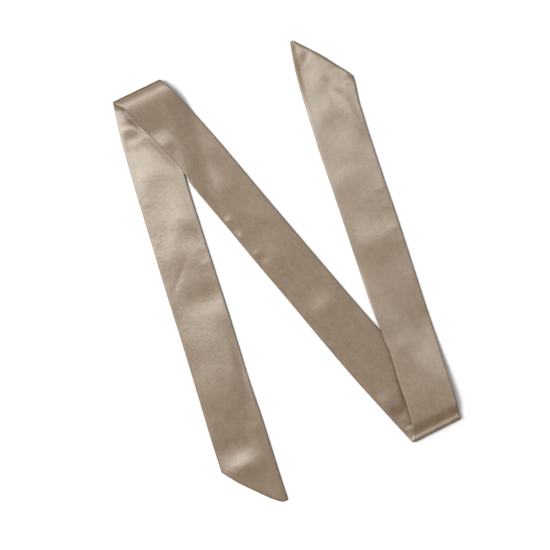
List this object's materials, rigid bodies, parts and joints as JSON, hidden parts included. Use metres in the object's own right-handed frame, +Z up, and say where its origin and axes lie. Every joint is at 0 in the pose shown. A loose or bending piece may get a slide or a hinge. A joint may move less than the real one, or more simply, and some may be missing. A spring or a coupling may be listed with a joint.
{
  "type": "hair scarf",
  "caption": "Long narrow satin scarf, a sewn flat tube with slanted ends, laid flat and turned over at soft folds so that it lies as an N.",
  "frame": {"origin": "middle of the laid scarf's box, on the surface it lies on", "axes": "+Z up from the surface, +Y the way the N is tall, from its lower left foot to its upper end, +X to the right of it"},
  "size_m": [0.3311, 0.4388, 0.0091],
  "materials": {
    "satin": "plain taupe satin with a soft sheen"
  },
  "bodies": {
    "root": {"tail_stretch": "satin", "cross_stretch": "satin", "head_stretch": "satin"}
  },
  "joints": []
}
